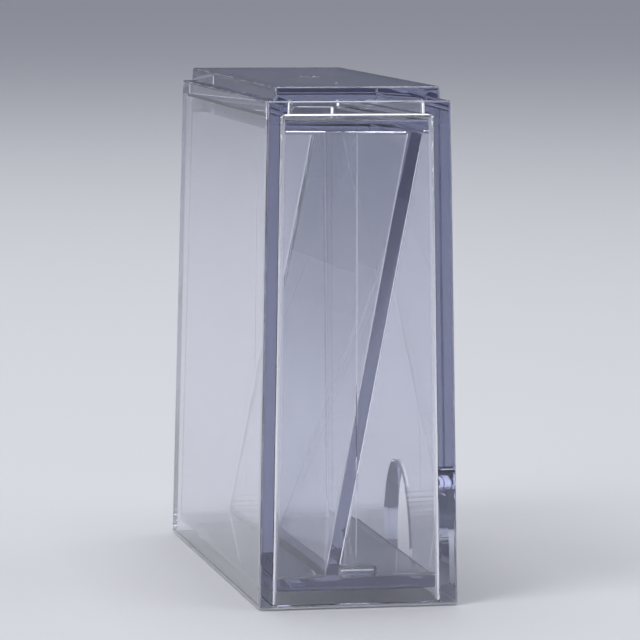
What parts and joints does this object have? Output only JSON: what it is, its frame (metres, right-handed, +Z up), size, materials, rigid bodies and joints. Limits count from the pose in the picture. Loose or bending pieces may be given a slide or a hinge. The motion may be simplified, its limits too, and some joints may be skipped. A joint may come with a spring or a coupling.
{
  "type": "deck display case",
  "caption": "Clear stackable deck display case: a stepped shell lifts off a moulded stand with a leaning back rest; a thumb arch at the back.",
  "frame": {"origin": "centre of the rim on which the case stands", "axes": "+Z up, -Y towards the open display side of the stand, X along the wide face"},
  "size_m": [0.1028, 0.0402, 0.1028],
  "materials": {
    "clear_case": "polished clear polystyrene",
    "clear_stand": "polished clear polystyrene"
  },
  "bodies": {
    "stand": {"display_stand": "clear_stand"},
    "case": {"outer_case": "clear_case"}
  },
  "joints": [
    {"name": "case_lift", "type": "slide", "parent": "stand", "child": "case", "axis": [0, 0, 1], "range_m": [0, 0.105]}
  ]
}
